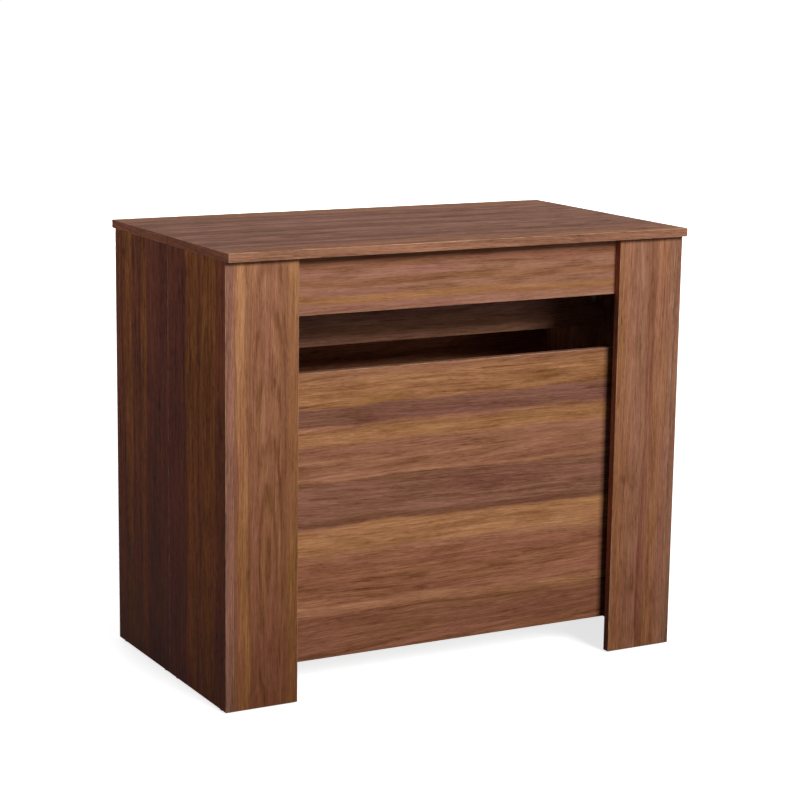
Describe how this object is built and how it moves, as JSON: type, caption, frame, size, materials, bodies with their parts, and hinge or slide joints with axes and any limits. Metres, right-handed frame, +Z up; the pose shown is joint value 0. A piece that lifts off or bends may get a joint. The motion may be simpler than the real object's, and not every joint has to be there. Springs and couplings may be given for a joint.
{
  "type": "extending console table",
  "caption": "Walnut-look console table of mirrored halves with slotted fronts, which pull apart on telescopic runners under the top to make a long dining table.",
  "frame": {"origin": "on the floor under the middle of the closed table", "axes": "+X along the width, to the right as seen from the front; +Y from the front to the back; +Z up"},
  "size_m": [0.9, 0.51, 0.78],
  "materials": {
    "walnut_board": "satin walnut melamine",
    "runner_aluminium": "satin mill finish",
    "shoe_plastic": "moulded nylon",
    "zinc_steel": "bright zinc plate",
    "zinc_cam": "cast zinc",
    "beech_dowel": "plain beech",
    "glide_plastic": "moulded nylon"
  },
  "bodies": {
    "rear_half": {"left_runner_bar_1": "runner_aluminium", "rear_apron": "walnut_board", "rear_bracket_screws": "zinc_steel", "rear_cam_bolts": "zinc_steel", "rear_cam_housings": "zinc_cam", "rear_dowels": "beech_dowel", "rear_glides": "glide_plastic", "rear_hanger_screws": "zinc_steel", "rear_hanger_studs": "zinc_steel", "rear_inner_rail": "walnut_board", "rear_left_leg": "walnut_board", "rear_left_side": "walnut_board", "rear_lower_panel": "walnut_board", "rear_right_leg": "walnut_board", "rear_right_side": "walnut_board", "rear_runner_hangers": "zinc_steel", "rear_slot_nuts": "zinc_steel", "rear_top": "walnut_board", "rear_top_brackets": "zinc_steel", "right_runner_bar_1": "runner_aluminium", "slide_shoes_1": "shoe_plastic"},
    "runner_stage_1": {"left_runner_bar_2": "runner_aluminium", "right_runner_bar_2": "runner_aluminium", "slide_shoes_2": "shoe_plastic"},
    "runner_stage_2": {"left_runner_bar_3": "runner_aluminium", "right_runner_bar_3": "runner_aluminium", "slide_shoes_3": "shoe_plastic"},
    "runner_stage_3": {"left_runner_bar_4": "runner_aluminium", "right_runner_bar_4": "runner_aluminium", "slide_shoes_4": "shoe_plastic"},
    "runner_stage_4": {"left_runner_bar_5": "runner_aluminium", "right_runner_bar_5": "runner_aluminium", "slide_shoes_5": "shoe_plastic"},
    "runner_stage_5": {"left_runner_bar_6": "runner_aluminium", "right_runner_bar_6": "runner_aluminium", "slide_shoes_6": "shoe_plastic"},
    "front_half": {"alignment_pins": "beech_dowel", "front_apron": "walnut_board", "front_bracket_screws": "zinc_steel", "front_cam_bolts": "zinc_steel", "front_cam_housings": "zinc_cam", "front_dowels": "beech_dowel", "front_glides": "glide_plastic", "front_hanger_screws": "zinc_steel", "front_hanger_studs": "zinc_steel", "front_inner_rail": "walnut_board", "front_left_leg": "walnut_board", "front_left_side": "walnut_board", "front_lower_panel": "walnut_board", "front_right_leg": "walnut_board", "front_right_side": "walnut_board", "front_runner_hangers": "zinc_steel", "front_slot_nuts": "zinc_steel", "front_top": "walnut_board", "front_top_brackets": "zinc_steel", "left_runner_bar_7": "runner_aluminium", "right_runner_bar_7": "runner_aluminium", "slide_shoes_7": "shoe_plastic"}
  },
  "joints": [
    {"name": "front_half_slide", "type": "slide", "parent": "rear_half", "child": "front_half", "axis": [0, -1, 0], "range_m": [0, 1.86]},
    {"name": "runner_stage_1_slide", "type": "slide", "parent": "rear_half", "child": "runner_stage_1", "axis": [0, -1, 0], "range_m": [0, 0.3105]},
    {"name": "runner_stage_2_slide", "type": "slide", "parent": "rear_half", "child": "runner_stage_2", "axis": [0, -1, 0], "range_m": [0, 0.6205]},
    {"name": "runner_stage_3_slide", "type": "slide", "parent": "rear_half", "child": "runner_stage_3", "axis": [0, -1, 0], "range_m": [0, 0.9305]},
    {"name": "runner_stage_4_slide", "type": "slide", "parent": "rear_half", "child": "runner_stage_4", "axis": [0, -1, 0], "range_m": [0, 1.2405]},
    {"name": "runner_stage_5_slide", "type": "slide", "parent": "rear_half", "child": "runner_stage_5", "axis": [0, -1, 0], "range_m": [0, 1.5505]}
  ],
  "couplings": [
    {"joint": "runner_stage_1_slide", "follows": "front_half_slide", "ratio": 0.16667},
    {"joint": "runner_stage_2_slide", "follows": "front_half_slide", "ratio": 0.33333},
    {"joint": "runner_stage_3_slide", "follows": "front_half_slide", "ratio": 0.5},
    {"joint": "runner_stage_4_slide", "follows": "front_half_slide", "ratio": 0.66667},
    {"joint": "runner_stage_5_slide", "follows": "front_half_slide", "ratio": 0.83333}
  ]
}
